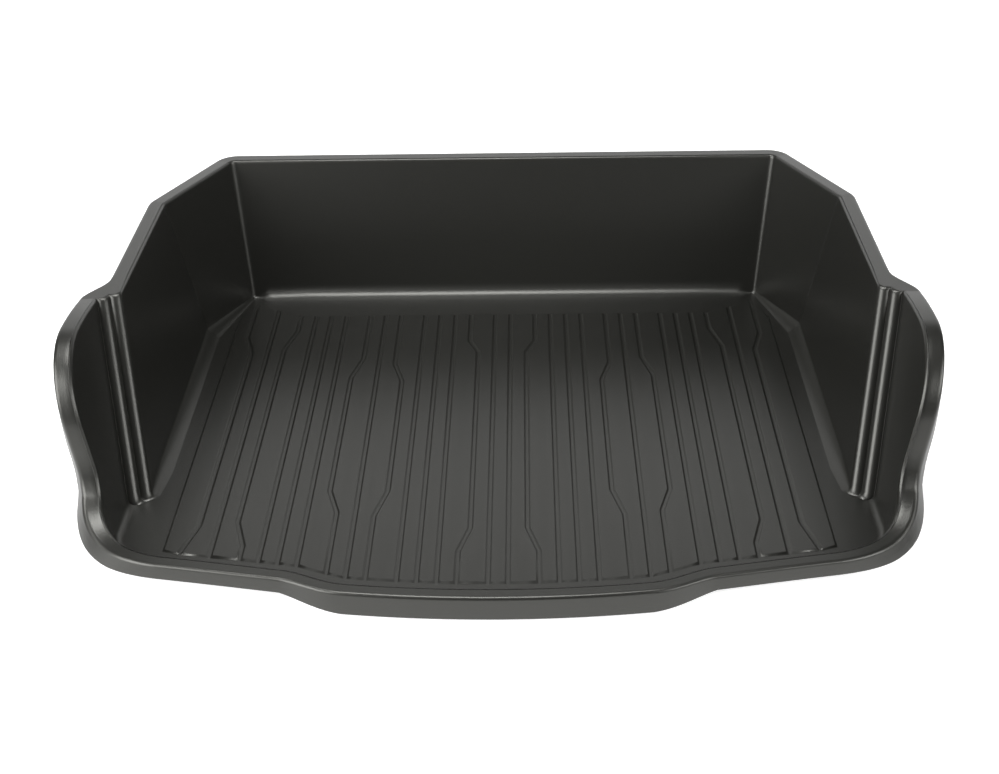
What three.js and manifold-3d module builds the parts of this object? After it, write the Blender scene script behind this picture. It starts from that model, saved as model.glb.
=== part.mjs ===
// Car boot liner: one moulded tray. A tall back wall and chamfered corners lead into side walls, which
// step out behind a pair of slanting ribs into wings, and the wings fall to a low front lip.
// The rim is turned out into a flange with a short skirt, and the floor carries raised planks.
// Millimetres, +Z up, +X to the right, +Y towards the tall back wall, underside of the floor at z = 0.

import * as THREE from 'three';
import { mergeVertices } from 'three/addons/utils/BufferGeometryUtils.js';
import Module from 'manifold-3d';

// Walls and floor. Depths are measured forward from the foot of the back wall.
const sheet = 3; // thickness of the floor and the walls
const sideHalfWidth = 519; // middle to the side wall, at the floor
const cornerWidth = 56; // chamfered corner, across and along the side wall
const cornerDepth = 147;
const wingStep = 32; // how much further out the wing wall stands
const pillarDepth = 637; // where the side wall turns out, at the floor
const pillarLean = 165; // the turn is this much further back at the rim, so the ribs lean back
const pillarRun = 24; // how far the turn takes along the wall
const edgeLead = 44; // the flange's outer edge starts its turn this much further back
const edgeTrail = 2; // and ends it this much further forward
const plainBefore = 60; // last plain section of the side wall, this far behind the turn
const backRimHeight = 254;
const sideRimHeight = 263;
const wingRimHeight = 270;
const lipHeight = 37;
const wallLean = 0.18; // outward run for each unit of height
const backLean = 0.204;
const cornerLean = 0.159;
const lipLean = 0.28;

// Front edge, from the middle to the wing
const frontReach = 161; // how far the middle of the lip stands in front of the wing
const bowHalfWidth = 205; // half of the bowed middle stretch
const bowRise = 13; // how much the bow falls back at its ends
const shoulderRun = 85; // length of the S that follows the bow
const shoulderRise = 30; // how much the S falls back
const frontSlope = 0.17; // fall of the straight stretch outside the S
const cornerReach = 115; // wing to the end of the rounded front corner
const cornerFall = 88; // how far the rounded corner runs forward

// Wing rim, seen from the side
const wingRimRun = 99; // end of the flange's turn to the highest place, where the rim starts to fall
const wingShoulderRadius = 114;
const wingFallAngle = THREE.MathUtils.degToRad(7); // steep front edge, from the vertical
const shoulderSteps = 9; // sections around the shoulder
const wingToeRadius = 90; // hollow curve from the steep edge into the lip
const toeLead = 17.2; // foot of the steep edge to where the wing rounds into the front lip

// Rounded foot of each wall, as the length it takes on the floor and up the wall
const coveBlend = 24; // at the back wall
const coveRamp = 48; // gentle ramp from there down to the floor
const coveRise = 2; // height of the ramp at its top
const coveTaper = 97; // the ramp narrows away over this length at each back corner
const sideBlend = 18;
const sideFlatness = 0.55; // 0 is a round fillet and 1 a flat chamfer
const wingBlend = 11;
const lipBlend = 10;
const creaseRadius = 14; // upright corner at the back, at the rim
const creaseFootRadius = 8;
const creaseBlend = 5;
const kinkRadius = 25; // upright corner between chamfer and side wall, at the rim
const kinkFootRadius = 20;

// Rounded ribs side by side on the turn of the side wall
const turnSwing = 0.5; // how far the rounded foot turns with the wall, in radians
const ribCount = 2;
const ribSweep = THREE.MathUtils.degToRad(60); // how far a rib's surface turns to either side
const ribSteps = 6; // sections across one rib

// Rim
const flangeWidth = 27;
const lipFlangeWidth = 22;
const edgeRadius = 5;
const rimSkirt = 16;
const cornerSkirt = 22;
const frontSkirt = 33;
const rimFlare = 0.1; // outward run of the skirt for each unit of its depth
const cornerFlare = 0.6;
const flareStartHeight = 240; // on the wing's falling rim
const frontFlare = 0.12;
const beadHeight = 2; // raised line beside the inner edge of the wing's falling rim
const beadWidth = 6;

// Planks on the floor
const plankHeight = 2;
const narrowPitch = 27.6;
const widePitch = 43.4;
const grooveWidth = 3.8; // at the floor
const plankSlope = 2.7; // how far a plank's side leans in over its height
const plankStartGap = 4; // foot of the ramp to the plank ends
const plankEndGap = 41; // foot of the front lip to the plank ends
const plankSideGap = 43; // foot of the side wall to the outermost plank
const plankPitches = [narrowPitch, widePitch, narrowPitch, narrowPitch, narrowPitch, widePitch, widePitch,
  narrowPitch, narrowPitch, narrowPitch, widePitch, narrowPitch, narrowPitch];

// Grooves that step sideways at both ends, counted from the middle. The back step has its depths, and
// the front step its distances from the plank ends.
const grooveSteps = new Map([
  [1, { out: 1, back: [174, 214], front: [128, 73] }],
  [5, { out: 1, back: [252, 309], front: [214, 151] }],
  [7, { out: -1, back: [234, 297], front: [193, 139] }],
  [11, { out: -1, back: [135, 198], front: [87, 32] }],
  [13, { out: 1, back: [154, 212], front: [70, 8] }],
]);

// Derived levels and places
const backHalfWidth = sideHalfWidth - cornerWidth;
const wingHalfWidth = sideHalfWidth + wingStep;
const pillarRimDepth = pillarDepth - pillarLean;
const riseStart = pillarRimDepth + pillarRun + edgeTrail;
const wingCrestDepth = riseStart + wingRimRun;
const wingSteepness = Math.PI / 2 - wingFallAngle;
const fallDepth = wingCrestDepth + wingShoulderRadius * Math.sin(wingSteepness);
const fallHeight = wingRimHeight - wingShoulderRadius * (1 - Math.cos(wingSteepness));
const toeTop = lipHeight + wingToeRadius * (1 - Math.cos(wingSteepness));
const toeDepth = fallDepth + (fallHeight - toeTop) * Math.tan(wingFallAngle);
const wingFrontDepth = toeDepth + toeLead;
const frontDepth = wingFrontDepth + frontReach;
const floorTop = sheet;
const floorOverlap = 1; // how far the ring of walls runs into the flat floor
const straightEnough = 1e-4; // sine of a turn too small to keep
const plankTop = floorTop + plankHeight;
const plankShift = widePitch - narrowPitch;
const sideways = new THREE.Vector2(1, 0);

const mix = THREE.MathUtils.lerp;
const ease = THREE.MathUtils.smoothstep;

// Points of an arc that rounds the corner of a plan line, with the outward normal at each.
function roundedCorner(before, corner, after, radius, count) {
  const into = corner.clone().sub(before).normalize();
  const outOf = after.clone().sub(corner).normalize();
  const turn = into.angleTo(outOf);
  const setBack = radius * Math.tan(turn / 2);
  const start = corner.clone().addScaledVector(into, -setBack);
  const normal = new THREE.Vector2(-into.y, into.x);
  const centre = start.clone().addScaledVector(normal, -radius);
  return Array.from({ length: count + 1 }, (_, i) => {
    const direction = normal.clone().rotateAround(new THREE.Vector2(), -turn * i / count);
    return { place: centre.clone().addScaledVector(direction, radius), normal: direction };
  });
}

function lift(place, height) {
  return new THREE.Vector3(place.x, place.y, height);
}

function plan(place) {
  return new THREE.Vector2(place.x, place.y);
}

// A station is one section through the wall: its foot, the inner edge of the rim and the outer edge
// of the flange, with the outward normals, the length of the rounded foot and the depth of the skirt.
function station(foot, footNormal, rim, rimNormal, blend, options = {}) {
  const { width = flangeWidth, skirt = rimSkirt, flare = rimFlare, bead = 0, ramp = 0, flatness = 0 } = options;
  const edge = options.edge ?? rim.clone().addScaledVector(lift(rimNormal, 0), width);
  const tangent = options.tangent ?? foot.clone().addScaledVector(lift(footNormal, 0), -blend - ramp);
  const inward = options.inward ?? footNormal.clone().negate();
  return { foot, footNormal, rim, rimNormal, edge, tangent, inward, blend, skirt, flare, bead, ramp, flatness };
}

// Back wall, crease, chamfered corner and kink, to the start of the side wall.
function backStations() {
  const rise = backRimHeight - floorTop;
  const sideRise = sideRimHeight - floorTop;
  const backFoot = new THREE.Vector2(0, 0);
  const cornerFoot = new THREE.Vector2(backHalfWidth, 0);
  const kinkFoot = new THREE.Vector2(sideHalfWidth, -cornerDepth);
  const sideFoot = new THREE.Vector2(sideHalfWidth, -pillarDepth);
  const along = kinkFoot.clone().sub(cornerFoot).normalize();
  const outward = new THREE.Vector2(-along.y, along.x);
  const backRim = new THREE.Vector2(0, backLean * rise);
  const cornerRim = new THREE.Vector2(
    backHalfWidth + (cornerLean * rise - outward.y * backRim.y) / outward.x, backRim.y);
  const kinkRimX = sideHalfWidth + wallLean * sideRise;
  const kinkRim = new THREE.Vector2(
    kinkRimX, (cornerLean * sideRise - outward.x * (kinkRimX - backHalfWidth)) / outward.y);
  const sideRim = new THREE.Vector2(kinkRimX, -pillarRimDepth);

  const up = new THREE.Vector2(0, 1);
  const crease = roundedCorner(backFoot, cornerFoot, kinkFoot, creaseFootRadius, 4);
  const creaseRim = roundedCorner(backRim, cornerRim, kinkRim, creaseRadius, 4);
  const kink = roundedCorner(cornerFoot, kinkFoot, sideFoot, kinkFootRadius, 2);
  const kinkTop = roundedCorner(cornerRim, kinkRim, sideRim, kinkRadius, 2);

  const stations = [];
  const taperStart = crease[0].place.x - coveTaper;
  const stops = [0, taperStart, ...[0.25, 0.5, 0.75].map((t) => mix(taperStart, crease[0].place.x, t))];
  for (const x of stops) {
    const t = x / crease[0].place.x;
    const ramp = coveRamp * Math.min(1, (crease[0].place.x - x) / coveTaper);
    const rim = lift(backRim.clone().lerp(creaseRim[0].place, t), backRimHeight);
    stations.push(station(lift(new THREE.Vector2(x, 0), floorTop), up, rim, up, coveBlend, { ramp }));
  }
  crease.forEach(({ place, normal }, i) => {
    const rim = lift(creaseRim[i].place, backRimHeight);
    stations.push(station(lift(place, floorTop), normal, rim, creaseRim[i].normal, creaseBlend));
  });
  for (const t of [0.33, 0.67]) {
    const foot = crease.at(-1).place.clone().lerp(kink[0].place, t);
    const rim = lift(creaseRim.at(-1).place.clone().lerp(kinkTop[0].place, t), mix(backRimHeight, sideRimHeight, t));
    stations.push(station(lift(foot, floorTop), outward, rim, outward, mix(creaseBlend, sideBlend, t),
      { flatness: sideFlatness }));
  }
  kink.forEach(({ place, normal }, i) => {
    const rim = lift(kinkTop[i].place, sideRimHeight);
    stations.push(station(lift(place, floorTop), normal, rim, kinkTop[i].normal, sideBlend,
      { flatness: sideFlatness }));
  });
  return stations;
}

// Place on the straight turn from side wall to wing, at t from 0 to 1.
function turnPlace(startX, startDepth, t) {
  return new THREE.Vector2(startX + wingStep * t, -startDepth - pillarRun * t);
}

// The same with the ribs, which are arcs that stand in from the turn, and with the walls either side.
function ribbedPlace(startX, startDepth, t) {
  const turn = new THREE.Vector2(wingStep, -pillarRun);
  const beyond = Math.min(t, 0) + Math.max(t - 1, 0);
  const place = turnPlace(startX, startDepth, t - beyond);
  if (beyond !== 0) return place.setY(place.y - beyond * turn.length());
  const across = 2 * ((t * ribCount) % 1) - 1;
  const radius = turn.length() / ribCount / (2 * Math.sin(ribSweep));
  const rise = radius * (Math.cos(Math.asin(across * Math.sin(ribSweep))) - Math.cos(ribSweep));
  return place.addScaledVector(new THREE.Vector2(turn.y, -turn.x).normalize(), rise);
}

// Outward normal of the ribbed turn, from its neighbours on the same level.
function turnNormal(startX, startDepth, t) {
  const small = 0.02;
  const along = ribbedPlace(startX, startDepth, t + small).sub(ribbedPlace(startX, startDepth, t - small));
  return new THREE.Vector2(-along.y, along.x).normalize();
}

// Side wall and the ribbed turn into the wing.
function turnStations() {
  const rimX = sideHalfWidth + wallLean * (sideRimHeight - floorTop);
  const sideFoot = lift(new THREE.Vector2(sideHalfWidth, plainBefore - pillarDepth), floorTop);
  const sideRim = lift(new THREE.Vector2(rimX, plainBefore - pillarRimDepth), sideRimHeight);
  const stations = [station(sideFoot, sideways, sideRim, sideways, sideBlend, { flatness: sideFlatness })];
  const sections = ribCount * ribSteps;
  for (let i = 0; i <= sections; i++) {
    const t = i / sections;
    const foot = lift(ribbedPlace(sideHalfWidth, pillarDepth, t), floorTop);
    const rim = lift(ribbedPlace(rimX, pillarRimDepth, t), sideRimHeight);
    const edgeX = rimX + flangeWidth + wingStep * ease(t, 0, 1);
    const edgeDepth = mix(pillarRimDepth - edgeLead, riseStart, t);
    const edge = new THREE.Vector3(edgeX, -edgeDepth, sideRimHeight);
    const swing = turnSwing * Math.sin(Math.PI * t);
    const inward = new THREE.Vector2(-Math.cos(swing), -Math.sin(swing));
    const tangent = lift(turnPlace(sideHalfWidth, pillarDepth, t).addScaledVector(inward, wingBlend), floorTop);
    stations.push(station(foot, turnNormal(sideHalfWidth, pillarDepth, t), rim,
      turnNormal(rimX, pillarRimDepth, t), wingBlend, { edge, tangent, inward }));
  }
  return stations;
}

// Place and outward normal on the rounded front corner, at the floor, for an angle from the wing.
function cornerPlace(angle) {
  const place = new THREE.Vector2(
    wingHalfWidth - cornerReach * (1 - Math.cos(angle)), -wingFrontDepth - cornerFall * Math.sin(angle));
  const normal = new THREE.Vector2(Math.cos(angle) / cornerReach, -Math.sin(angle) / cornerFall).normalize();
  return { place, normal };
}

// Depth of the front foot line at a distance from the middle, outside the rounded corner.
function frontLine(x) {
  const bowEnd = frontDepth - bowRise;
  if (x <= bowHalfWidth) return frontDepth - bowRise * (x / bowHalfWidth) ** 2;
  const t = (x - bowHalfWidth) / shoulderRun;
  const shoulderEnd = bowEnd - shoulderRise;
  if (t >= 1) return shoulderEnd - frontSlope * (x - bowHalfWidth - shoulderRun);
  const startSlope = -2 * bowRise / bowHalfWidth * shoulderRun;
  const endSlope = -frontSlope * shoulderRun;
  return bowEnd * (2 * t ** 3 - 3 * t ** 2 + 1) + startSlope * (t ** 3 - 2 * t ** 2 + t)
    + shoulderEnd * (3 * t ** 2 - 2 * t ** 3) + endSlope * (t ** 3 - t ** 2);
}

// Wing rim, falling front edge, rounded corner and front lip, to the middle of the front.
function wingStations() {
  const turnEnd = pillarDepth + pillarRun;
  const profile = []; // depth and height along the rising rim, the shoulder and the steep edge
  for (const t of [0.25, 0.5, 0.75]) {
    profile.push([mix(riseStart, wingCrestDepth, t), mix(wingRimHeight, sideRimHeight, (1 - t) ** 2)]);
  }
  for (let i = 0; i <= shoulderSteps; i++) {
    const angle = wingSteepness * i / shoulderSteps;
    profile.push([wingCrestDepth + wingShoulderRadius * Math.sin(angle),
      wingRimHeight - wingShoulderRadius * (1 - Math.cos(angle))]);
  }
  profile.push([mix(fallDepth, toeDepth, 0.5), mix(fallHeight, toeTop, 0.5)]);
  profile.push([toeDepth, toeTop]);

  const toeHeight = (travel) => {
    const sine = Math.sin(wingSteepness) - travel / wingToeRadius;
    return sine <= 0 ? lipHeight : lipHeight + wingToeRadius * (1 - Math.cos(Math.asin(sine)));
  };
  const cornerTravel = wingFrontDepth - toeDepth;
  profile.push([mix(toeDepth, wingFrontDepth, 0.5), toeHeight(cornerTravel / 2)]);

  const stations = [];
  profile.forEach(([depth, height], i) => {
    const share = (i + 1) / (profile.length + 1);
    const foot = lift(new THREE.Vector2(wingHalfWidth, -mix(turnEnd, wingFrontDepth, share)), floorTop);
    const rim = new THREE.Vector3(wingHalfWidth + wallLean * (height - floorTop), -depth, height);
    const bead = ease(depth, wingCrestDepth, wingCrestDepth + wingShoulderRadius / 2);
    const flare = mix(cornerFlare, rimFlare, ease(height, lipHeight + wingToeRadius, flareStartHeight));
    stations.push(station(foot, sideways, rim, sideways, wingBlend, { flare, bead }));
  });

  const cornerEnd = Math.atan2(cornerFall, cornerReach * frontSlope);
  const cornerCount = 10;
  let travel = cornerTravel;
  let last = cornerPlace(0).place;
  for (let i = 0; i <= cornerCount; i++) {
    const t = i / cornerCount;
    const { place, normal } = cornerPlace(cornerEnd * t);
    travel += place.distanceTo(last);
    last = place;
    const height = toeHeight(travel);
    const lean = mix(wallLean, lipLean, t);
    const rim = lift(place.clone().addScaledVector(normal, lean * (height - floorTop)), height);
    stations.push(station(lift(place, floorTop), normal, rim, normal, mix(wingBlend, lipBlend, t), {
      width: mix(flangeWidth, lipFlangeWidth, ease(t, 0, 0.5)),
      skirt: mix(rimSkirt, cornerSkirt, ease(t, -0.3, 0.3)),
      flare: mix(cornerFlare, frontFlare, ease(t, 0.3, 1)),
      bead: 1 - ease(t, 0, 0.5),
    }));
  }

  const cornerX = last.x;
  const shoulderX = bowHalfWidth + shoulderRun;
  const places = [mix(cornerX, shoulderX, 0.5), shoulderX];
  for (const t of [0.83, 0.67, 0.5, 0.33, 0.17]) places.push(bowHalfWidth + shoulderRun * t);
  for (const t of [1, 0.75, 0.5, 0.25, 0]) places.push(bowHalfWidth * t);
  const drop = frontLine(cornerX) + last.y; // keeps the corner and the straight stretch in one line
  for (const x of places) {
    const depth = (at) => frontLine(at) - drop * ease(at, bowHalfWidth, cornerX);
    const slope = depth(x + 1) - depth(Math.abs(x - 1));
    const normal = x === 0 ? new THREE.Vector2(0, -1) : new THREE.Vector2(-slope / 2, -1).normalize();
    const place = new THREE.Vector2(x, -depth(x));
    const rim = lift(place.clone().addScaledVector(normal, lipLean * (lipHeight - floorTop)), lipHeight);
    const skirt = mix(frontSkirt, cornerSkirt, THREE.MathUtils.clamp((x - bowHalfWidth) / shoulderRun, 0, 1));
    const options = { width: lipFlangeWidth, skirt, flare: frontFlare };
    stations.push(station(lift(place, floorTop), normal, rim, normal, lipBlend, options));
  }
  return stations;
}

function mirrored(source) {
  const flip = (v) => (v.isVector3 ? new THREE.Vector3(-v.x, v.y, v.z) : new THREE.Vector2(-v.x, v.y));
  return { ...source, foot: flip(source.foot), footNormal: flip(source.footNormal), rim: flip(source.rim),
    rimNormal: flip(source.rimNormal), edge: flip(source.edge), tangent: flip(source.tangent),
    inward: flip(source.inward) };
}

// Direction that the top of the flange faces, square to the rim line and to the flange.
function flangeFacing(stations, i) {
  const before = stations.at(i - 1).edge;
  const after = stations[(i + 1) % stations.length].edge;
  const along = after.clone().sub(before);
  const across = stations[i].edge.clone().sub(stations[i].rim);
  return new THREE.Vector3().crossVectors(along, across).normalize();
}

// Place on the flat floor, a distance inside the line where the rounded foot starts.
function floorPlace({ tangent, inward }, distance) {
  return tangent.clone().addScaledVector(lift(inward, 0), distance);
}

// Rounded foot of a wall, in five points from the floor to the wall. A ramp leads up to it on the floor.
function roundedFoot(start, corner, end, { ramp, blend, flatness }, rise) {
  if (ramp > 0) {
    const lifted = new THREE.Vector3(0, 0, rise * ramp / coveRamp);
    const rampEnd = start.clone().lerp(corner, ramp / (ramp + blend)).add(lifted);
    const bend = new THREE.QuadraticBezierCurve3(rampEnd, corner.clone().add(lifted), end);
    return [start.clone(), ...bend.getPoints(3)];
  }
  const bend = new THREE.QuadraticBezierCurve3(start, corner, end);
  return bend.getPoints(4).map((place, i) => place.lerp(start.clone().lerp(end, i / 4), flatness));
}

// Section through the wall at a station: along the inside from the floor to the skirt, and back outside.
function sectionPoints(source, facing) {
  const { foot, footNormal, rim, rimNormal, edge, tangent, blend, skirt, flare, bead } = source;
  const wall = rim.clone().sub(foot).normalize();
  const across = edge.clone().sub(rim).normalize();
  const at = (from, outward, upward) => from.clone().addScaledVector(across, outward).addScaledVector(facing, upward);
  const inside = floorPlace(source, floorOverlap);
  const points = [inside, ...roundedFoot(tangent, foot, foot.clone().addScaledVector(wall, blend), source, coveRise)];
  const softEdge = Math.min(edgeRadius, skirt / 3);
  points.push(rim.clone().addScaledVector(wall, -softEdge));
  points.push(at(rim, beadWidth / 4, bead * beadHeight));
  points.push(at(rim, beadWidth * 0.6, bead * beadHeight));
  points.push(at(rim, beadWidth, 0));
  points.push(at(edge, -softEdge, 0));
  points.push(at(edge, -softEdge * 0.3, -softEdge * 0.3));
  points.push(at(edge, 0, -softEdge));
  const skirtFoot = at(edge, skirt * flare, -skirt);
  points.push(skirtFoot);
  points.push(at(skirtFoot, -sheet, 0));
  points.push(at(edge, -sheet - softEdge * 0.3, -sheet - softEdge * 0.3));
  const outerRim = rim.clone().addScaledVector(lift(rimNormal, 0), sheet).addScaledVector(facing, -sheet);
  points.push(outerRim);
  const outerFoot = foot.clone().addScaledVector(lift(footNormal, 0), sheet);
  const outerWall = outerRim.clone().sub(outerFoot).normalize();
  const outerEnd = outerFoot.clone().addScaledVector(outerWall, blend);
  const under = roundedFoot(tangent.clone().setZ(0), outerFoot.clone().setZ(0), outerEnd, source, 0);
  points.push(...under.reverse(), inside.clone().setZ(0));
  return points;
}

function indexedGeometry(points, index) {
  const geometry = new THREE.BufferGeometry();
  geometry.setAttribute('position', new THREE.Float32BufferAttribute(points.flatMap((p) => [p.x, p.y, p.z]), 3));
  geometry.setIndex(index);
  return geometry;
}

// Closed ring through all the sections.
function wallGeometry(stations) {
  const sections = stations.map((s, i) => sectionPoints(s, flangeFacing(stations, i)));
  const perSection = sections[0].length;
  const index = [];
  sections.forEach((_, i) => {
    const here = i * perSection;
    const ahead = ((i + 1) % sections.length) * perSection;
    for (let j = 0; j < perSection; j++) {
      const next = (j + 1) % perSection;
      index.push(here + j, ahead + next, here + next);
      index.push(here + j, ahead + j, ahead + next);
    }
  });
  return indexedGeometry(sections.flat(), index);
}

// Flat floor inside the ring of rounded feet.
function floorGeometry(stations) {
  const line = stations.map((s) => plan(floorPlace(s, floorOverlap / 2)));
  const outline = line.filter((place, i) => {
    const into = place.clone().sub(line.at(i - 1)).normalize();
    const outOf = line[(i + 1) % line.length].clone().sub(place).normalize();
    return Math.abs(into.cross(outOf)) > straightEnough;
  });
  return new THREE.ExtrudeGeometry(new THREE.Shape(outline), { depth: floorTop, bevelEnabled: false });
}

// Depth where the flat floor starts, in front of the cove and beside the chamfered corner.
function plankStart(x) {
  const ramp = coveRamp * THREE.MathUtils.clamp((backHalfWidth - x) / coveTaper, 0, 1);
  const cornerRun = cornerWidth - sideBlend;
  const besideCorner = (x - backHalfWidth + creaseFootRadius) / cornerRun * (cornerDepth + sideBlend);
  return Math.max(coveBlend + ramp + plankStartGap, besideCorner);
}

function plankEnd(x) {
  const corner = new THREE.Vector2(wingHalfWidth - cornerReach, cornerReach);
  const angle = Math.acos(THREE.MathUtils.clamp((x - corner.x) / corner.y, 0, 1));
  const rounded = wingFrontDepth + cornerFall * Math.sin(angle);
  return (x < corner.x + corner.y * 0.2 ? frontLine(x) : Math.min(rounded, frontLine(x))) - plankEndGap;
}

// Distance from the middle of a groove at its two ends.
function grooveEndPlace(order, middle) {
  return middle + (grooveSteps.get(order)?.out ?? 0) * plankShift;
}

// Places where a groove's line changes, as distance from the middle and depth, back to front.
function grooveLine(order, middle, startDepth, endDepth) {
  const steps = grooveSteps.get(order);
  if (!steps) return [[middle, startDepth], [middle, endDepth]];
  const aside = grooveEndPlace(order, middle);
  const front = steps.front.map((distance) => plankEnd(middle) - distance);
  return [[aside, startDepth], [aside, steps.back[0]], [middle, steps.back[1]],
    [middle, front[0]], [aside, front[1]], [aside, endDepth]];
}

// Solid between loops of points stacked from low to high, each loop with the same number of points.
function stackGeometry(loops) {
  const count = loops[0].length;
  const index = [];
  for (let level = 0; level < loops.length - 1; level++) {
    for (let i = 0; i < count; i++) {
      const low = level * count;
      const next = (i + 1) % count;
      index.push(low + i, low + next, low + count + next);
      index.push(low + i, low + count + next, low + count + i);
    }
  }
  const top = (loops.length - 1) * count;
  for (const [a, b, c] of THREE.ShapeUtils.triangulateShape(loops[0].map(plan), [])) {
    index.push(a, c, b);
    index.push(top + a, top + b, top + c);
  }
  return indexedGeometry(loops.flat(), index);
}

// One plank between two groove lines, with sides that lean in. A line is a function of the inset.
function plankGeometry(innerLine, outerLine, side) {
  const loop = (inset, height) => {
    const points = [...outerLine(-inset), ...innerLine(inset).toReversed()];
    const placed = points.map(([x, depth]) => new THREE.Vector3(side * x, -depth, height));
    return THREE.ShapeUtils.area(placed) < 0 ? placed.reverse() : placed;
  };
  const buried = sheet / 2;
  return stackGeometry([
    loop(-plankSlope * buried / plankHeight, floorTop - buried),
    loop(plankSlope, plankTop),
  ]);
}

function plankGeometries() {
  const outerEdge = sideHalfWidth - plankSideGap;
  const all = [narrowPitch / 2];
  plankPitches.forEach((pitch) => all.push(all.at(-1) + pitch));
  const middles = all.filter((middle) => middle + narrowPitch / 2 < outerEdge);
  const edgeLine = (order, gap) => (inset) => {
    const offset = gap + inset;
    const trim = gap < 0 ? -inset : inset;
    const endPlace = grooveEndPlace(order, middles[order]) + gap;
    const start = plankStart(endPlace) + trim;
    const end = plankEnd(endPlace) - trim;
    return grooveLine(order, middles[order], start, end).map(([x, depth]) => [x + offset, depth]);
  };
  const outerLine = (inset) => {
    return [[outerEdge + inset, plankStart(outerEdge) - inset], [outerEdge + inset, plankEnd(outerEdge) + inset]];
  };
  const half = grooveWidth / 2;
  const planks = [];
  for (const side of [1, -1]) {
    middles.forEach((_, order) => {
      const outer = order + 1 < middles.length ? edgeLine(order + 1, -half) : outerLine;
      planks.push(plankGeometry(edgeLine(order, half), outer, side));
    });
  }
  const right = edgeLine(0, -half);
  const left = (inset) => right(-inset).map(([x, depth]) => [-x, depth]);
  planks.push(plankGeometry(left, right, 1));
  return planks;
}

const wasm = await Module();
wasm.setup();

function solidFrom(geometry) {
  const plain = geometry.clone();
  plain.deleteAttribute('normal');
  plain.deleteAttribute('uv');
  const merged = mergeVertices(plain, 1e-3);
  return new wasm.Manifold(new wasm.Mesh({ numProp: 3,
    vertProperties: new Float32Array(merged.attributes.position.array),
    triVerts: new Uint32Array(merged.index.array) }));
}

function geometryFrom(solid) {
  const mesh = solid.getMesh();
  const geometry = new THREE.BufferGeometry();
  geometry.setAttribute('position', new THREE.Float32BufferAttribute(mesh.vertProperties, 3));
  geometry.setIndex(Array.from(mesh.triVerts));
  geometry.computeVertexNormals();
  geometry.computeBoundingBox();
  return geometry;
}

const rightHalf = [...backStations(), ...turnStations(), ...wingStations()];
const leftHalf = rightHalf.slice(1, -1).reverse().map(mirrored);
const stations = [...rightHalf, ...leftHalf];
const shell = solidFrom(wallGeometry(stations)).add(solidFrom(floorGeometry(stations)));
const tray = plankGeometries().reduce((solid, plank) => solid.add(solidFrom(plank)), shell);

const linerPlastic = new THREE.MeshStandardMaterial({ color: 0x33332f, roughness: 0.45, metalness: 0 });
const liner = new THREE.Mesh(geometryFrom(tray), linerPlastic);
liner.name = 'liner_tray';
const box = liner.geometry.boundingBox;
liner.position.set(0, -(box.min.y + box.max.y) / 2, -box.min.z);

const group = new THREE.Group();
group.add(liner);

export default group;
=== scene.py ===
import math

import bmesh
import bpy
from mathutils import Matrix, Vector
from mathutils.geometry import delaunay_2d_cdt


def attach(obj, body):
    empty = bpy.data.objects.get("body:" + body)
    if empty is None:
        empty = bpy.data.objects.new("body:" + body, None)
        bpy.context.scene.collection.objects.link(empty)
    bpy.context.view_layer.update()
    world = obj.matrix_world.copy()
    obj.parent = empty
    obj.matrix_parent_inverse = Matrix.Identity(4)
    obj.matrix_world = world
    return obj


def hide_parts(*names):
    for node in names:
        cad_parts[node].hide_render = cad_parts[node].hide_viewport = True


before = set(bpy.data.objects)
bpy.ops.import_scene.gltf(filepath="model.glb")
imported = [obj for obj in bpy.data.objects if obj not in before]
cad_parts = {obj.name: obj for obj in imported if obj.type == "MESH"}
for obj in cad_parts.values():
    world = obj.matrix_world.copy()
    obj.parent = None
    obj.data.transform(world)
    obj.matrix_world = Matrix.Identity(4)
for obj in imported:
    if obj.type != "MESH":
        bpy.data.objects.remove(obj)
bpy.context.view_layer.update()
print("stage: frame loaded")

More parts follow.
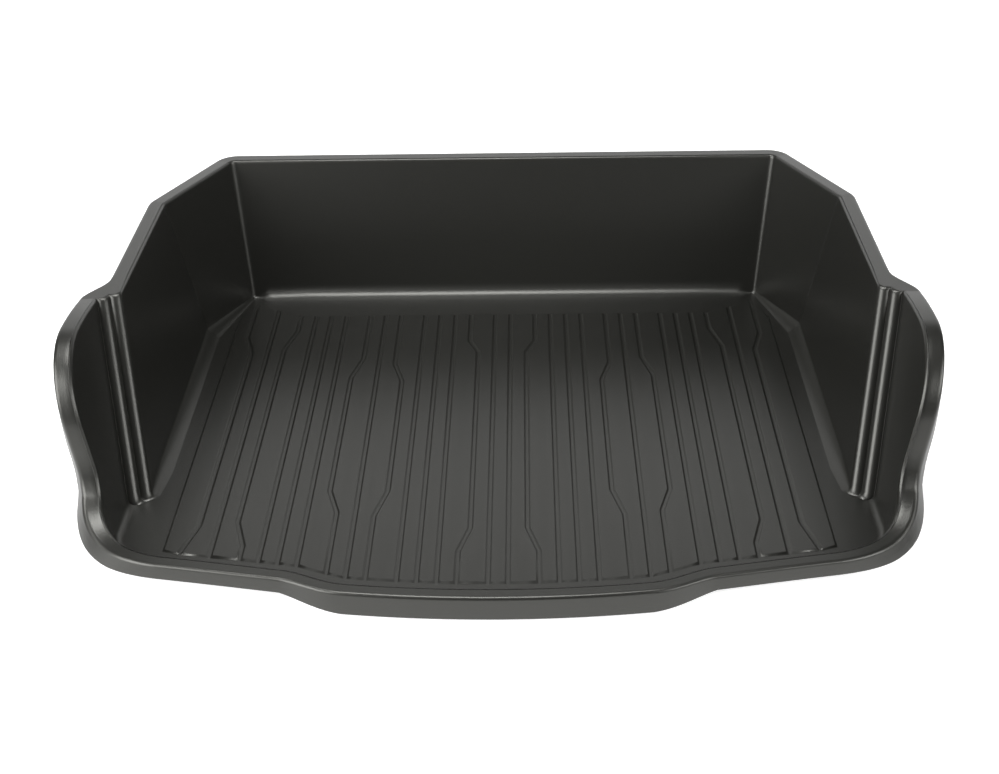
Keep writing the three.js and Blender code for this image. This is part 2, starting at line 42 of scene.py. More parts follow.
# The liner is one moulded tray, built in millimetres and brought to metres at the end. Depths run
# forward from the foot of the back wall, and half widths run out from the middle.
tray = {
    "sheet": 3,  # thickness of the floor and the walls
    "backHalf": 463,
    "sideHalf": 519,
    "wingHalf": 551,
    "cornerDepth": 147,  # how far the chamfered corner takes along the side
    "pillarDepth": 637,  # where the side wall turns out to the wing, at the floor
    "pillarRimDepth": 472,  # and at the rim, so the turn leans back
    "pillarRun": 24,  # how far the turn takes along the wall
    "turnSwing": 0.5,  # how far the rounded foot turns with it, in radians
    "edgeLead": 44,  # the flange's outer edge starts its turn this much further back
    "edgeTrail": 2,  # and ends it this much further forward
    "ribs": 2,
    "ribSweep": math.radians(60),  # how far a rib's surface turns to either side
    "backRim": 254,  # heights of the rim
    "sideRim": 263,
    "wingRim": 270,
    "lip": 37,
    "wallLean": 0.18,  # outward run for each unit of height
    "backLean": 0.204,
    "cornerLean": 0.159,
    "lipLean": 0.28,
    "crestDepth": 597,  # highest place of the wing's rim
    "shoulderRadius": 114,
    "wingFall": math.radians(7),  # steep front edge of the wing, from the vertical
    "toeRadius": 90,  # hollow curve from the steep edge into the lip
    "toeLead": 17.2,  # foot of the steep edge to the rounded front corner
    "cornerReach": 115,  # rounded front corner, across
    "cornerFall": 88,  # and forward
    "frontReach": 161,  # how far the middle of the lip stands in front of the wing
    "bowHalf": 205,  # half of the bowed middle stretch
    "bowRise": 13,
    "shoulderRun": 85,  # the S beside the bow, along the lip
    "shoulderRise": 30,  # and back
    "frontSlope": 0.17,  # fall of the straight stretch outside the S
    "cove": 24,  # rounded foot of the back wall, on the floor and up the wall
    "coveRamp": 48,  # gentle ramp from there down to the floor
    "coveRise": 2,  # height of the ramp at its top
    "coveTaper": 97,  # the ramp narrows away over this length at each back corner
    "coveEnd": 25,  # and the rounded foot over this one
    "sideBlend": 18,
    "flatness": 0.55,  # foot of the side wall: 0 is a round fillet and 1 a flat chamfer
    "wingBlend": 11,
    "lipBlend": 10,
    "creaseRadius": 14,  # upright corner at the back, at the rim
    "creaseFoot": 8,  # and at the floor
    "creaseBlend": 5,
    "kinkRadius": 25,  # upright corner between chamfer and side wall, at the rim
    "kinkFoot": 20,
    "flange": 27,
    "lipFlange": 22,
    "edgeRadius": 5,
    "rimSkirt": 16,  # depth of the skirt
    "cornerSkirt": 22,
    "frontSkirt": 33,
    "rimFlare": 0.1,  # outward run of the skirt for each unit of its depth
    "cornerFlare": 0.6,
    "frontFlare": 0.12,
    "flareStart": 240,  # height on the wing's falling rim
    "beadHeight": 2,  # raised line beside the inner edge of the wing's falling rim
    "beadWidth": 6,
}

floorTop = tray["sheet"]
turnEnd = tray["pillarDepth"] + tray["pillarRun"]
riseStart = tray["pillarRimDepth"] + tray["pillarRun"] + tray["edgeTrail"]
steep = math.pi / 2 - tray["wingFall"]  # how far the rim turns down over the wing's shoulder
fallDepth = tray["crestDepth"] + tray["shoulderRadius"] * math.sin(steep)
fallHeight = tray["wingRim"] - tray["shoulderRadius"] * (1 - math.cos(steep))
toeTop = tray["lip"] + tray["toeRadius"] * (1 - math.cos(steep))
toeDepth = fallDepth + (fallHeight - toeTop) * math.tan(tray["wingFall"])
wingFront = toeDepth + tray["toeLead"]
frontDepth = wingFront + tray["frontReach"]
cornerEnd = math.atan2(tray["cornerFall"], tray["cornerReach"] * tray["frontSlope"])


def mix(a, b, t):
    return a + (b - a) * t


def clamp(t, low=0.0, high=1.0):
    return min(max(t, low), high)


def ease(t, low, high):
    u = clamp((t - low) / (high - low))
    return u * u * (3 - 2 * u)


# Even shares from 0 to 1, or only those in between
def steps(count, ends=True):
    return [i / count for i in range(0 if ends else 1, count + 1 if ends else count)]


# Points from a to c on a curve that leaves a towards b and comes to c from b
def curve(a, b, c, count):
    return [a * (1 - t) ** 2 + b * 2 * t * (1 - t) + c * t ** 2 for t in steps(count)]


def at(x, y, z=0.0):
    return Vector((x, y, z))


def raised(place, height):
    return at(place.x, place.y, height)


# Points of an arc that rounds the corner of a plan line, with the outward normal at each
def roundedCorner(before, corner, after, radius, count):
    into = (corner - before).normalized()
    out = (after - corner).normalized()
    turn = into.angle(out)
    start = corner - into * radius * math.tan(turn / 2)
    normal = at(-into.y, into.x)
    centre = start - normal * radius
    found = []
    for t in steps(count):
        facing = Matrix.Rotation(-turn * t, 3, "Z") @ normal
        found.append((centre + facing * radius, facing))
    return found


# One section of the wall: its places at the floor, the rim and the flange's edge, and its sizes
def station(foot, footNormal, rim, rimNormal, blend, width=None, edge=None, tangent=None,
            skirt=tray["rimSkirt"], flare=tray["rimFlare"], bead=0.0, ramp=0.0, flatness=0.0):
    return {"foot": foot, "footNormal": footNormal, "rim": rim, "rimNormal": rimNormal,
            "edge": edge or rim + rimNormal * (width or tray["flange"]),
            "tangent": tangent or foot - footNormal * (blend + ramp), "blend": blend, "skirt": skirt,
            "flare": flare, "bead": bead, "ramp": ramp, "flatness": flatness}


# How many sections each stretch of the wall gets
sections = {
    "back": 8,
    "backEnd": 20,
    "crease": 10,
    "chamfer": 8,
    "kink": 8,
    "plainSide": (220, 110, 58),  # places, this far behind the turn
    "turn": 71,
    "turnLines": 0.002,  # share of the turn from a sharp line to the section close beside it
    "turnEnd": 0.003,  # and from the end of the turn
    "rise": 8,
    "shoulder": 30,
    "fall": 4,
    "toe": 5,
    "corner": 40,
    "front": 6,
    "frontShoulder": 20,
    "bow": 16,
}


# From the middle of the back wall to the end of the chamfered corner
def backStations():
    rise = tray["backRim"] - floorTop
    sideRise = tray["sideRim"] - floorTop
    backFoot, cornerFoot = at(0, 0), at(tray["backHalf"], 0)
    kinkFoot = at(tray["sideHalf"], -tray["cornerDepth"])
    sideFoot = at(tray["sideHalf"], -tray["pillarDepth"])
    along = (kinkFoot - cornerFoot).normalized()
    outward = at(-along.y, along.x)
    backRim = at(0, tray["backLean"] * rise)
    cornerRim = at(tray["backHalf"] + (tray["cornerLean"] * rise - outward.y * backRim.y) / outward.x,
                   backRim.y)
    kinkRimX = tray["sideHalf"] + tray["wallLean"] * sideRise
    kinkRim = at(kinkRimX, (tray["cornerLean"] * sideRise
                            - outward.x * (kinkRimX - tray["backHalf"])) / outward.y)
    sideRim = at(kinkRimX, -tray["pillarRimDepth"])
    back = at(0, 1)
    crease = roundedCorner(backFoot, cornerFoot, kinkFoot, tray["creaseFoot"], sections["crease"])
    creaseRim = roundedCorner(backRim, cornerRim, kinkRim, tray["creaseRadius"], sections["crease"])
    kink = roundedCorner(cornerFoot, kinkFoot, sideFoot, tray["kinkFoot"], sections["kink"])
    kinkTop = roundedCorner(cornerRim, kinkRim, sideRim, tray["kinkRadius"], sections["kink"])
    found = []
    creaseX = crease[0][0].x
    taperStart = creaseX - tray["coveTaper"]
    stops = [taperStart * t for t in steps(sections["back"])][:-1]
    stops += [mix(taperStart, creaseX, t) for t in steps(sections["backEnd"])][:-1]
    for x in stops:
        t = x / creaseX
        left = creaseX - x
        blend = mix(tray["creaseBlend"], tray["cove"], ease(left, 0, tray["coveEnd"]))
        ramp = tray["coveRamp"] * clamp(left / tray["coveTaper"])
        rim = raised(backRim.lerp(creaseRim[0][0], t), tray["backRim"])
        found.append(station(at(x, 0, floorTop), back, rim, back, blend, ramp=ramp))
    for (place, normal), (top, topNormal) in zip(crease, creaseRim):
        found.append(station(raised(place, floorTop), normal, raised(top, tray["backRim"]), topNormal,
                             tray["creaseBlend"]))
    for t in steps(sections["chamfer"], ends=False):
        foot = crease[-1][0].lerp(kink[0][0], t)
        rim = raised(creaseRim[-1][0].lerp(kinkTop[0][0], t), mix(tray["backRim"], tray["sideRim"], t))
        found.append(station(raised(foot, floorTop), outward, rim, outward,
                             mix(tray["creaseBlend"], tray["sideBlend"], t), flatness=tray["flatness"]))
    for (place, normal), (top, topNormal) in zip(kink, kinkTop):
        found.append(station(raised(place, floorTop), normal, raised(top, tray["sideRim"]), topNormal,
                             tray["sideBlend"], flatness=tray["flatness"]))
    return found


# Place on the turn from the side wall to the wing, at a share t of it
def turnPlace(startX, startDepth, t):
    return at(startX + (tray["wingHalf"] - tray["sideHalf"]) * t, -startDepth - tray["pillarRun"] * t)


# The same with the ribs, arcs that stand in from the turn, and with the walls either side
def ribbedPlace(startX, startDepth, t):
    turn = at(tray["wingHalf"] - tray["sideHalf"], -tray["pillarRun"])
    beyond = min(t, 0) + max(t - 1, 0)
    place = turnPlace(startX, startDepth, t - beyond)
    if beyond:
        return place - at(0, beyond * turn.length)
    sweep = tray["ribSweep"]
    radius = turn.length / tray["ribs"] / (2 * math.sin(sweep))
    offMiddle = 2 * (t * tray["ribs"] % 1) - 1  # -1 to 1 over each rib
    rise = radius * (math.cos(math.asin(offMiddle * math.sin(sweep))) - math.cos(sweep))
    return place + at(turn.y, -turn.x).normalized() * rise


# Outward normal there
def turnNormal(startX, startDepth, t):
    small = 0.006
    along = ribbedPlace(startX, startDepth, t + small) - ribbedPlace(startX, startDepth, t - small)
    return at(-along.y, along.x).normalized()


# From the side wall over the ribbed turn to the wing
def turnStations():
    side = at(1, 0)
    rimX = tray["sideHalf"] + tray["wallLean"] * (tray["sideRim"] - floorTop)
    found = []
    for before in sections["plainSide"]:
        foot = at(tray["sideHalf"], before - tray["pillarDepth"], floorTop)
        rim = at(rimX, before - tray["pillarRimDepth"], tray["sideRim"])
        found.append(station(foot, side, rim, side, tray["sideBlend"], flatness=tray["flatness"]))
    # sections close beside each sharp line, so that no light catches in it
    shares = steps(sections["turn"]) + [1 - sections["turnEnd"]]
    for line in range(1, tray["ribs"]):
        shares += [line / tray["ribs"] + way * sections["turnLines"] for way in (-1, 1)]
    for t in sorted(shares):
        foot = raised(ribbedPlace(tray["sideHalf"], tray["pillarDepth"], t), floorTop)
        rim = raised(ribbedPlace(rimX, tray["pillarRimDepth"], t), tray["sideRim"])
        edgeX = rimX + tray["flange"] + (tray["wingHalf"] - tray["sideHalf"]) * ease(t, 0, 1)
        edge = at(edgeX, -mix(tray["pillarRimDepth"] - tray["edgeLead"], riseStart, t), tray["sideRim"])
        swing = tray["turnSwing"] * math.sin(math.pi * t)
        plain = turnPlace(tray["sideHalf"], tray["pillarDepth"], t)
        tangent = raised(plain - at(math.cos(swing), math.sin(swing)) * tray["wingBlend"], floorTop)
        found.append(station(foot, turnNormal(tray["sideHalf"], tray["pillarDepth"], t), rim,
                             turnNormal(rimX, tray["pillarRimDepth"], t), tray["wingBlend"],
                             edge=edge, tangent=tangent))
    return found


# Rim of the wing seen from the side, as depths and heights: rise, shoulder, steep edge and toe
def wingProfile():
    profile = []
    for t in steps(sections["rise"], ends=False):
        profile.append((mix(riseStart, tray["crestDepth"], t),
                        mix(tray["wingRim"], tray["sideRim"], (1 - t) ** 2)))
    for t in steps(sections["shoulder"]):
        angle = steep * t
        profile.append((tray["crestDepth"] + tray["shoulderRadius"] * math.sin(angle),
                        tray["wingRim"] - tray["shoulderRadius"] * (1 - math.cos(angle))))
    for t in steps(sections["fall"])[1:]:
        profile.append((mix(fallDepth, toeDepth, t), mix(fallHeight, toeTop, t)))
    for t in steps(sections["toe"], ends=False):
        profile.append((mix(toeDepth, wingFront, t), toeHeight(tray["toeLead"] * t)))
    return profile


# Height of the rim at a distance along the wall from the foot of the steep edge
def toeHeight(travel):
    sine = math.sin(steep) - travel / tray["toeRadius"]
    if sine <= 0:
        return tray["lip"]
    return tray["lip"] + tray["toeRadius"] * (1 - math.cos(math.asin(sine)))


def wingStations():
    side = at(1, 0)
    profile = wingProfile()
    found = []
    for i, (depth, height) in enumerate(profile):
        share = (i + 1) / (len(profile) + 1)
        foot = at(tray["wingHalf"], -mix(turnEnd, wingFront, share), floorTop)
        rim = at(tray["wingHalf"] + tray["wallLean"] * (height - floorTop), -depth, height)
        bead = ease(depth, tray["crestDepth"], tray["crestDepth"] + tray["shoulderRadius"] / 2)
        flare = mix(tray["cornerFlare"], tray["rimFlare"],
                    ease(height, tray["lip"] + tray["toeRadius"], tray["flareStart"]))
        found.append(station(foot, side, rim, side, tray["wingBlend"], flare=flare, bead=bead))
    return found


# Place on the rounded front corner, with its outward normal
def cornerPlace(angle):
    place = at(tray["wingHalf"] - tray["cornerReach"] * (1 - math.cos(angle)),
               -wingFront - tray["cornerFall"] * math.sin(angle))
    normal = at(math.cos(angle) / tray["cornerReach"], -math.sin(angle) / tray["cornerFall"])
    return place, normal.normalized()


def cornerStations():
    found = []
    travel = tray["toeLead"]
    last = cornerPlace(0)[0]
    for t in steps(sections["corner"]):
        place, normal = cornerPlace(cornerEnd * t)
        travel += (place - last).length
        last = place
        height = toeHeight(travel)
        lean = mix(tray["wallLean"], tray["lipLean"], t)
        rim = raised(place + normal * lean * (height - floorTop), height)
        # the wing's sizes turn into the lip's, each over its own share of the corner
        found.append(station(
            raised(place, floorTop), normal, rim, normal, mix(tray["wingBlend"], tray["lipBlend"], t),
            width=mix(tray["flange"], tray["lipFlange"], ease(t, 0, 0.5)),
            skirt=mix(tray["rimSkirt"], tray["cornerSkirt"], ease(t, -0.3, 0.3)),
            flare=mix(tray["cornerFlare"], tray["frontFlare"], ease(t, 0.3, 1)),
            bead=1 - ease(t, 0, 0.5)))
    return found


# Depth of the front lip at a distance from the middle: bow, S and straight stretch
def frontLine(x):
    bowEnd = frontDepth - tray["bowRise"]
    if x <= tray["bowHalf"]:
        return frontDepth - tray["bowRise"] * (x / tray["bowHalf"]) ** 2
    t = (x - tray["bowHalf"]) / tray["shoulderRun"]
    shoulderEnd = bowEnd - tray["shoulderRise"]
    if t >= 1:
        return shoulderEnd - tray["frontSlope"] * (x - tray["bowHalf"] - tray["shoulderRun"])
    startSlope = -2 * tray["bowRise"] / tray["bowHalf"] * tray["shoulderRun"]
    endSlope = -tray["frontSlope"] * tray["shoulderRun"]
    return (bowEnd * (2 * t ** 3 - 3 * t ** 2 + 1) + startSlope * (t ** 3 - 2 * t ** 2 + t)
            + shoulderEnd * (3 * t ** 2 - 2 * t ** 3) + endSlope * (t ** 3 - t ** 2))


# From the rounded corner to the middle of the front lip
def frontStations():
    corner = cornerPlace(cornerEnd)[0]
    drop = frontLine(corner.x) + corner.y

    def depthAt(x):
        return frontLine(x) - drop * ease(x, tray["bowHalf"], corner.x)

    shoulderX = tray["bowHalf"] + tray["shoulderRun"]
    places = [mix(corner.x, shoulderX, t) for t in steps(sections["front"])][1:]
    places += [shoulderX - tray["shoulderRun"] * t for t in steps(sections["frontShoulder"])][1:]
    places += [tray["bowHalf"] * (1 - t) for t in steps(sections["bow"])][1:]
    found = []
    for x in places:
        slope = (depthAt(x + 1) - depthAt(abs(x - 1))) / 2
        normal = at(-slope, -1).normalized() if x else at(0, -1)
        place = at(x, -depthAt(x))
        rim = raised(place + normal * tray["lipLean"] * (tray["lip"] - floorTop), tray["lip"])
        skirt = mix(tray["frontSkirt"], tray["cornerSkirt"],
                    clamp((x - tray["bowHalf"]) / tray["shoulderRun"]))
        found.append(station(raised(place, floorTop), normal, rim, normal, tray["lipBlend"],
                             width=tray["lipFlange"], skirt=skirt, flare=tray["frontFlare"]))
    return found


def mirrored(source):
    flipped = dict(source)
    for key in ("foot", "footNormal", "rim", "rimNormal", "edge", "tangent"):
        v = source[key]
        flipped[key] = at(-v.x, v.y, v.z)
    return flipped


# Points across the wall, from the floor up, over the rim and down the outside
across = {
    "footPoints": 16,  # around the rounded foot
    "underPoints": 10,  # and the same outside
    "rampPoints": 4,
    "rampEase": 0.25,  # the ramp bends out of the floor over this share of it
    "wallShares": (0.03, 0.25, 0.5, 0.75, 1),  # the first keeps the foot's shading off the wall
    "edgePoints": 6,
    "guard": 1,  # a line this close to an edge keeps the shading of the flat beside it
    "flangeGuard": 0.8,
    "rimRound": 0.8,  # the rim's inner edge is rounded this share as far across as down
    # the bead and the faint hollow beside it, as shares of its width and height
    "beadShares": ((0.52, 1.0), (0.62, 0.9), (0.72, 0.45), (0.8, -0.1), (0.9, -0.3), (1.05, 0)),
    "flangeShare": 0.35,  # a line this share of the flange in from its outer edge
    "skirtShare": 0.5,  # and one this share down the skirt
    "skirtEdge": (0.5, 0.8),  # soft foot of the skirt, across and up
    "innerRound": 0.6,  # hollow under the flange's edge, as a share of the edge's radius
}


# Rounded foot of a wall from the floor to the wall, with a ramp leading up to it on the floor.
# A flatter one has its two edges softened over a short length.
def roundedFoot(start, corner, end, s, rise, count):
    if s["ramp"]:
        lifted = at(0, 0, rise * s["ramp"] / tray["coveRamp"])
        rampEnd = start.lerp(corner, s["ramp"] / (s["ramp"] + s["blend"])) + lifted
        ramp = curve(start, start.lerp(rampEnd, across["rampEase"]), rampEnd, across["rampPoints"])
        return ramp[:-1] + curve(rampEnd, corner + lifted, end, count - across["rampPoints"])
    bend = curve(start, corner, end, count)
    return [p.lerp(start.lerp(end, i / count), s["flatness"]) for i, p in enumerate(bend)]


# Section through the wall: inner fillet, wall, rim, flange, skirt and back outside to the underside
def sectionPoints(s, before, after):
    foot, rim, edge, blend, skirt = s["foot"], s["rim"], s["edge"], s["blend"], s["skirt"]
    facing = (after["edge"] - before["edge"]).cross(edge - rim).normalized()
    wall = (rim - foot).normalized()
    outward = (edge - rim).normalized()
    soft = min(tray["edgeRadius"], skirt / 3)  # a shallow skirt has smaller edges
    bead = s["bead"] * tray["beadHeight"]
    sheet = tray["sheet"]

    def off(origin, out, up):
        return origin + outward * out + facing * up

    points = roundedFoot(s["tangent"], foot, foot + wall * blend, s, tray["coveRise"], across["footPoints"])
    wallEnd = rim - wall * (soft + across["guard"])
    points += [points[-1].lerp(wallEnd, share) for share in across["wallShares"]]
    points += curve(rim - wall * soft, rim, off(rim, soft * across["rimRound"], bead), across["edgePoints"])
    points += [off(rim, tray["beadWidth"] * out, bead * up) for out, up in across["beadShares"]]
    points.append(off(edge, -soft - (edge - rim).length * across["flangeShare"], 0))
    points.append(off(edge, -soft - across["flangeGuard"], 0))
    points += curve(off(edge, -soft, 0), edge, off(edge, soft * s["flare"], -soft), across["edgePoints"])

    skirtFoot = off(edge, skirt * s["flare"], -skirt)
    softOut, softUp = across["skirtEdge"]
    points.append(edge.lerp(skirtFoot, across["skirtShare"]))
    points += [off(skirtFoot, 0, softUp), off(skirtFoot, -softOut, 0)]
    points += [off(skirtFoot, softOut - sheet, 0), off(skirtFoot, -sheet, softUp)]
    hollow = sheet + soft * across["innerRound"]
    points += [off(edge, -sheet, -hollow), off(edge, -hollow, -sheet)]

    outerRim = rim + raised(s["rimNormal"], 0) * sheet - facing * sheet
    outerFoot = foot + raised(s["footNormal"], 0) * sheet
    outerWall = (outerRim - outerFoot).normalized()
    points += [off(outerRim, across["guard"], 0), outerRim - outerWall * across["guard"]]
    fillet = roundedFoot(raised(s["tangent"], 0), raised(outerFoot, 0), outerFoot + outerWall * blend,
                         s, 0, across["underPoints"])
    fillet.reverse()
    return points + [outerRim.lerp(fillet[0], 0.5)] + fillet


# Raised planks on the floor, in millimetres, with a groove between each and the next
planks = {
    "height": 2,
    "narrow": 27.6,  # from groove to groove
    "wide": 43.4,
    "wideOnes": (1, 5, 6, 10),  # counted from the middle
    "count": 13,  # on either side of the middle one, without the outermost
    "groove": 3.8,  # width at the floor
    "slope": 2.7,  # how far a side leans in over the height
    "endStretch": 1.7,  # the front ends lean this much further in, except at the corners
    "startGap": 4,  # foot of the ramp to the plank ends
    "endGap": 41,  # foot of the front lip to the plank ends
    "cornerShare": 0.2,  # the ends follow the rounded front corner from this share of it on
    "footSoft": 0.7,  # how far the soft foot runs out on the floor
    "topSoft": 0.8,  # and the soft top edge in on the plank
    "softShare": 0.25,  # share of the side that each of them takes
    "softPoints": 4,
    # grooves that step sideways at both ends: way they step, depths of the back step,
    # distances of the front step from the plank ends
    "steps": {1: (1, 174, 214, 128, 73), 5: (1, 252, 309, 214, 151), 7: (-1, 234, 297, 193, 139),
              11: (-1, 135, 198, 87, 32), 13: (1, 154, 212, 70, 8)},
}


# Depths where the planks start and end, at a distance from the middle
def plankStart(x):
    ramp = tray["coveRamp"] * clamp((tray["backHalf"] - x) / tray["coveTaper"])
    run = tray["sideHalf"] - tray["sideBlend"] - tray["backHalf"]
    beside = (x - tray["backHalf"] + tray["creaseFoot"]) / run * (tray["cornerDepth"] + tray["sideBlend"])
    return max(tray["cove"] + ramp + planks["startGap"], beside)


def plankEnd(x):
    reach = tray["cornerReach"]
    cornerX = tray["wingHalf"] - reach
    rounded = wingFront + tray["cornerFall"] * math.sin(math.acos(clamp((x - cornerX) / reach)))
    front = frontLine(x)
    return (front if x < cornerX + reach * planks["cornerShare"] else min(rounded, front)) - planks["endGap"]


# How far from the middle a groove runs at both its ends
def grooveEndPlace(order, middle):
    way = planks["steps"][order][0] if order in planks["steps"] else 0
    return middle + way * (planks["wide"] - planks["narrow"])


# Middle line of a groove, as distances from the middle of the tray and depths
def grooveLine(order, middle, start, end):
    if order not in planks["steps"]:
        return [(middle, start), (middle, end)]
    way, backA, backB, frontA, frontB = planks["steps"][order]
    aside = grooveEndPlace(order, middle)
    frontA, frontB = plankEnd(middle) - frontA, plankEnd(middle) - frontB
    return [(aside, start), (aside, backA), (middle, backB), (middle, frontA), (aside, frontB), (aside, end)]


# Outline of each plank, as a function of how far it is drawn in
def plankOutlines():
    middles = [planks["narrow"] / 2]
    for order in range(planks["count"]):
        middles.append(middles[-1] + (planks["wide"] if order in planks["wideOnes"] else planks["narrow"]))
    half = planks["groove"] / 2
    outerEdge = middles[-1] + planks["wide"] - half

    def edgeLine(order, gap, inset):
        trim = -inset if gap < 0 else inset
        endPlace = grooveEndPlace(order, middles[order]) + gap
        start = plankStart(endPlace) + trim
        end = plankEnd(endPlace) - trim * (planks["endStretch"] if order < planks["count"] else 1)
        return [(x + gap + inset, depth) for x, depth in grooveLine(order, middles[order], start, end)]

    def outline(order, side):
        def loop(inset):
            if order < 0:
                right = edgeLine(0, -half, -inset)
                points = right + [(-x, depth) for x, depth in reversed(right)]
            else:
                if order + 1 < len(middles):
                    outer = edgeLine(order + 1, -half, -inset)
                else:
                    outer = [(outerEdge - inset, plankStart(outerEdge) + inset),
                             (outerEdge - inset, plankEnd(outerEdge) - inset)]
                points = outer + list(reversed(edgeLine(order, half, inset)))
            placed = [at(side * x, -depth) for x, depth in points]
            return placed if turnsLeft(placed) else placed[::-1]
        return loop

    found = [outline(-1, 1)]
    for side in (1, -1):
        found += [outline(order, side) for order in range(len(middles))]
    return found


def turnsLeft(places):
    return sum(a.x * b.y - b.x * a.y for a, b in zip(places, places[1:] + places[:1])) > 0


# Flat faces inside a loop of corners, and outside the holes in it
def fillFlat(bm, outline, holes):
    loops = [loop if turnsLeft([v.co for v in loop]) else loop[::-1] for loop in [outline] + holes]
    corners = [v for loop in loops for v in loop]
    faces = []
    first = 0
    for loop in loops:
        faces.append(list(range(first, first + len(loop))))
        first += len(loop)
    insideFaces, sameWithin = 1, 1e-5
    _, _, triangles, sources, _, owners = delaunay_2d_cdt(
        [v.co.to_2d() for v in corners], [], faces, insideFaces, sameWithin)
    for triangle, owner in zip(triangles, owners):
        if list(owner) == [0]:  # in the outline and in no hole
            bm.faces.new([corners[sources[i][0]] for i in triangle])


# Planks on the floor, with soft feet and soft top edges. Gives the loops that they leave in the floor.
def buildPlanks(bm):
    slope, height = planks["slope"], planks["height"]
    low, high = planks["softShare"], 1 - planks["softShare"]
    foot = curve(at(-planks["footSoft"], 0), at(0, 0), at(slope * low, height * low), planks["softPoints"])
    top = curve(at(slope * high, height * high), at(slope, height), at(slope + planks["topSoft"], height),
                planks["softPoints"])
    holes = []
    for outline in plankOutlines():
        loops = [[bm.verts.new(raised(place, floorTop + rise.y)) for place in outline(rise.x)]
                 for rise in foot + top]
        for below, above in zip(loops, loops[1:]):
            for i in range(len(below)):
                ahead = (i + 1) % len(below)
                bm.faces.new((below[i], below[ahead], above[ahead], above[i]))
        fillFlat(bm, loops[-1], [])
        holes.append(loops[0])
    return holes


def buildTray(name):
    right = backStations() + turnStations() + wingStations() + cornerStations() + frontStations()
    stations = right + [mirrored(s) for s in reversed(right[1:-1])]
    bm = bmesh.new()
    rings = []
    for i, s in enumerate(stations):
        points = sectionPoints(s, stations[i - 1], stations[(i + 1) % len(stations)])
        rings.append([bm.verts.new(place) for place in points])
    for i, ring in enumerate(rings):
        ahead = rings[(i + 1) % len(rings)]
        for j in range(len(ring) - 1):
            bm.faces.new((ring[j], ring[j + 1], ahead[j + 1], ahead[j]))
    print("stage: ring of walls,", len(rings), "sections of", len(rings[0]), "points")

    holes = buildPlanks(bm)
    fillFlat(bm, [ring[0] for ring in rings], holes)
    fillFlat(bm, [ring[-1] for ring in rings], [])
    bmesh.ops.recalc_face_normals(bm, faces=bm.faces)
    print("stage: floor joined, open edges", sum(len(e.link_faces) != 2 for e in bm.edges))

    mesh = bpy.data.meshes.new(name)
    bm.to_mesh(mesh)
    bm.free()
    mesh.transform(Matrix.Scale(0.001, 4))  # millimetres to metres
    ys = [v.co.y for v in mesh.vertices]
    mesh.transform(Matrix.Translation((0, -(min(ys) + max(ys)) / 2, 0)))  # the CAD's origin is mid-depth
    mesh.shade_smooth()
    obj = bpy.data.objects.new(name, mesh)
    bpy.context.scene.collection.objects.link(obj)
    # large faces set the shading, so that the flats stay flat up to their edges
    shading = obj.modifiers.new("largeFacesFirst", "WEIGHTED_NORMAL")
    shading.keep_sharp = True
    shading.weight = 60
    print("stage: tray mesh,", len(mesh.polygons), "faces")
    return obj


# sRGB hex to the linear colour that sockets take
def linear(hexColour):
    parts = [int(hexColour[i:i + 2], 16) / 255 for i in (1, 3, 5)]
    return tuple(c / 12.92 if c <= 0.04045 else ((c + 0.055) / 1.055) ** 2.4 for c in parts) + (1.0,)


def addNode(tree, kind, settings=None, links=None):
    node = tree.nodes.new(kind)
    for key, value in (settings or {}).items():
        if isinstance(key, str) and hasattr(node, key):
            setattr(node, key, value)
        else:
            node.inputs[key].default_value = value
    for key, source in (links or {}).items():
        tree.links.new(source, node.inputs[key])
    return node


def newMaterial(name):
    material = bpy.data.materials.new(name)
    material.use_nodes = True
    tree = material.node_tree
    tree.nodes.clear()
    return material, tree


# Moulded polyethylene, near black with a touch of olive. To the eye it is satin: broad soft lights on the
# rim and the ribs, and a fine leather grain from the mould.
polyethylene = {
    "colour": "#131311",
    "tint": "#fdfdf7",
    "roughness": 0.34,
    "ior": 1.53,
    "grainWidth": 2.083,  # millimetres, about twice the real grain, which is too fine to show
    "grainDetail": 2.0,
    "grainRoughness": 0.6,
    "grainDepth": 0.3,  # millimetres
    "grainStrength": 0.5,
}


def mouldedPolyethylene():
    material, tree = newMaterial("mouldedPolyethylene")
    place = addNode(tree, "ShaderNodeTexCoord")
    grain = addNode(tree, "ShaderNodeTexNoise", {
        "Scale": 1000 / polyethylene["grainWidth"], "Detail": polyethylene["grainDetail"],
        "Roughness": polyethylene["grainRoughness"]}, {"Vector": place.outputs["Object"]})
    relief = addNode(tree, "ShaderNodeBump", {
        "Strength": polyethylene["grainStrength"], "Distance": polyethylene["grainDepth"] / 1000},
        {"Height": grain.outputs[0]})
    shader = addNode(tree, "ShaderNodeBsdfPrincipled", {
        "Base Color": linear(polyethylene["colour"]), "Roughness": polyethylene["roughness"],
        "IOR": polyethylene["ior"], "Specular Tint": linear(polyethylene["tint"])},
        {"Normal": relief.outputs[0]})
    addNode(tree, "ShaderNodeOutputMaterial", None, {"Surface": shader.outputs[0]})
    return material


liner = buildTray("linerTray")
liner.data.materials.append(mouldedPolyethylene())
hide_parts("liner_tray")
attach(liner, "root")
print("stage: tray dressed")


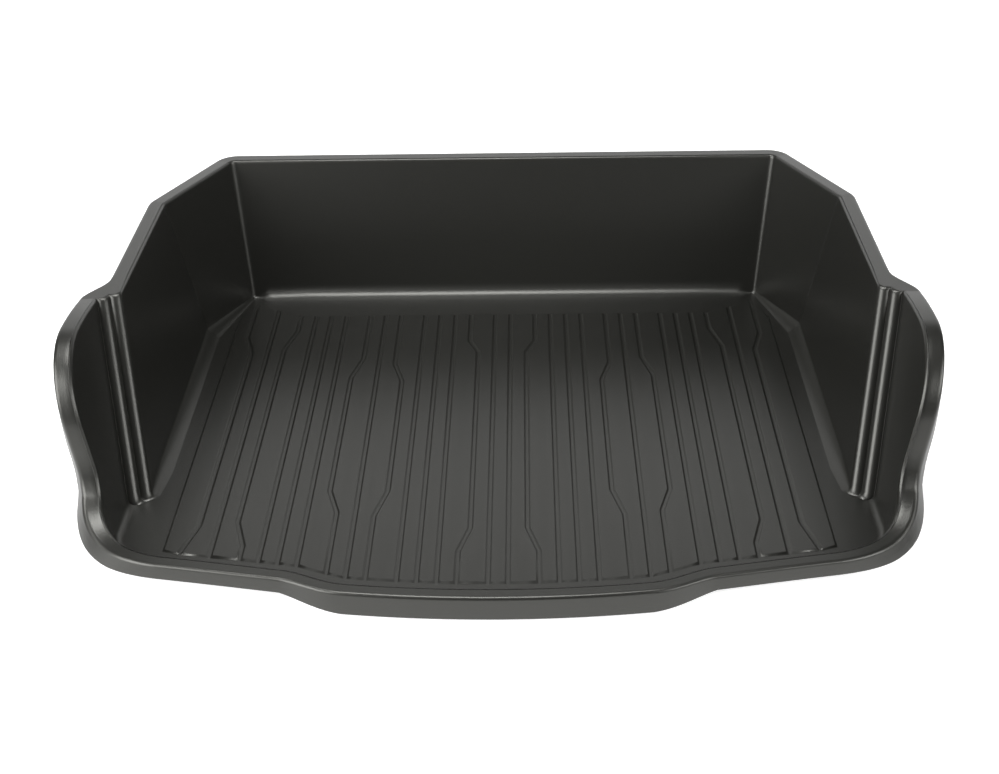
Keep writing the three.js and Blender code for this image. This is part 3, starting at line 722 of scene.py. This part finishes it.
# The studio, in metres
studio = {
    "halfWidth": 6.0,
    "front": -0.95,
    "back": 5.0,
    "height": 5.0,
    "paper": "#d8d8d8",
    "floorGlow": 0.75,  # 1 is white to the camera, and the light on the paper adds to it
    "backdropGlow": 1.0,
    "ambient": 0.12,
}
lamps = {
    "topBox": {"place": (-0.25, -0.12, 2.2), "aim": (-0.2, 0.1, 0), "width": 1.4, "height": 0.85,
               "watts": 58},
    "leftBox": {"place": (-2.2, -1.6, 1.4), "aim": (0, 0, 0.1), "width": 1.9, "height": 2.4,
                "watts": 140},
    "rightBox": {"place": (2.3, -1.6, 1.35), "aim": (0, 0, 0.1), "width": 2.2, "height": 1.2,
                 "watts": 66},
}
view = {"place": (0.04305, -2.0732, 1.3072), "aim": (-0.00384, 0.10096, 0), "roll": -1.13,
        "lens": 54.77, "sensor": 36}


# Matt white studio paper: it glows to the camera and in reflections, which gives the plain white ground,
# and is ordinary paper for the light that falls on it, so that the tray keeps its shadow
def studioPaper(name, share):
    material, tree = newMaterial(name)
    path = addNode(tree, "ShaderNodeLightPath")
    seen = addNode(tree, "ShaderNodeMath", {"operation": "MAXIMUM"},
                   {0: path.outputs["Is Camera Ray"], 1: path.outputs["Is Glossy Ray"]})
    strength = addNode(tree, "ShaderNodeMath", {"operation": "MULTIPLY", 1: share}, {0: seen.outputs[0]})
    glow = addNode(tree, "ShaderNodeEmission", {"Color": (1, 1, 1, 1)}, {"Strength": strength.outputs[0]})
    paper = addNode(tree, "ShaderNodeBsdfDiffuse", {"Color": linear(studio["paper"])})
    both = addNode(tree, "ShaderNodeAddShader", None, {0: glow.outputs[0], 1: paper.outputs[0]})
    addNode(tree, "ShaderNodeOutputMaterial", None, {"Surface": both.outputs[0]})
    return material


def plane(name, corners, material):
    mesh = bpy.data.meshes.new(name)
    mesh.from_pydata(corners, [], [(0, 1, 2, 3)])
    mesh.materials.append(material)
    obj = bpy.data.objects.new(name, mesh)
    bpy.context.scene.collection.objects.link(obj)


half, front, back, height = (studio[key] for key in ("halfWidth", "front", "back", "height"))
plane("studioFloor", [(-half, front, 0), (half, front, 0), (half, back, 0), (-half, back, 0)],
      studioPaper("floorPaper", studio["floorGlow"]))
plane("studioBackdrop", [(-half, back, 0), (half, back, 0), (half, back, height), (-half, back, height)],
      studioPaper("backdropPaper", studio["backdropGlow"]))


# Turn that points a lamp or the camera from one place at another
def aimed(place, aim):
    return (Vector(aim) - Vector(place)).to_track_quat("-Z", "Y")


def softbox(name, place, aim, width, height, watts):
    lamp = bpy.data.lights.new(name, "AREA")
    lamp.shape = "RECTANGLE"
    lamp.size = width
    lamp.size_y = height
    lamp.energy = watts
    obj = bpy.data.objects.new(name, lamp)
    obj.location = place
    obj.rotation_euler = aimed(place, aim).to_euler()
    bpy.context.scene.collection.objects.link(obj)


for name, settings in lamps.items():
    softbox(name, **settings)

world = bpy.data.worlds.new("studio")
world.use_nodes = True
sky = world.node_tree.nodes["Background"]
sky.inputs["Color"].default_value = (1, 1, 1, 1)
sky.inputs["Strength"].default_value = studio["ambient"]
bpy.context.scene.world = world

lens = bpy.data.cameras.new("camera")
lens.sensor_fit = "HORIZONTAL"
lens.sensor_width = view["sensor"]
lens.lens = view["lens"]
camera = bpy.data.objects.new("camera", lens)
roll = Matrix.Rotation(math.radians(view["roll"]), 4, "Z")
turned = aimed(view["place"], view["aim"]).to_matrix().to_4x4() @ roll
camera.matrix_world = Matrix.Translation(view["place"]) @ turned
bpy.context.scene.collection.objects.link(camera)
bpy.context.scene.camera = camera
bpy.context.scene.view_settings.view_transform = "Standard"
print("stage: studio, lamps and camera")
